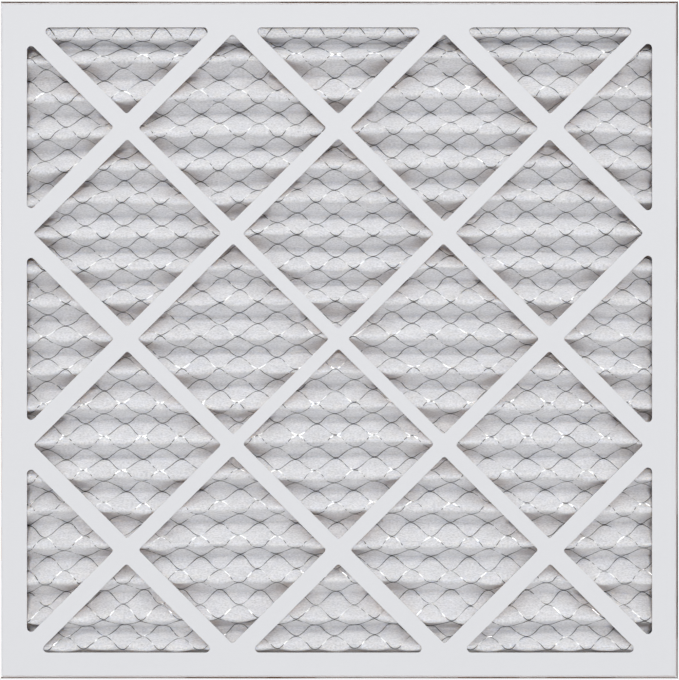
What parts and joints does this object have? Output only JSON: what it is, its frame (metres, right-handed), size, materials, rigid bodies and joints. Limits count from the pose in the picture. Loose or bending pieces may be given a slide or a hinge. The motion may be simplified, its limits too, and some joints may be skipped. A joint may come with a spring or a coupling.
{
  "type": "pleated panel air filter",
  "caption": "Flat square pleated air filter: a folded board frame with diamond windows round a wire-backed pleated nonwoven pack.",
  "frame": {"origin": "centre of the rear face, on the plane that the filter lies on", "axes": "+Z from the rear face to the air-leaving front face, +X along the pleats towards the wrapped edge opposite the spine fold, +Y across the pleats"},
  "size_m": [0.495, 0.495, 0.019],
  "materials": {
    "board": "matte white face, brown core",
    "nonwoven": "fine fibrous nonwoven",
    "wire": "bright zinc-coated expanded metal",
    "hot_melt": "milky hot melt",
    "flap_glue": "thin dried glue film"
  },
  "bodies": {
    "root": {"frame": "board", "pleated_media": "nonwoven", "wire_backing": "wire", "side_seal_left": "hot_melt", "side_seal_right": "hot_melt", "end_bead_top": "hot_melt", "end_bead_bottom": "hot_melt", "flap_glue_top": "flap_glue", "flap_glue_bottom": "flap_glue", "flap_glue_right": "flap_glue"}
  },
  "joints": []
}
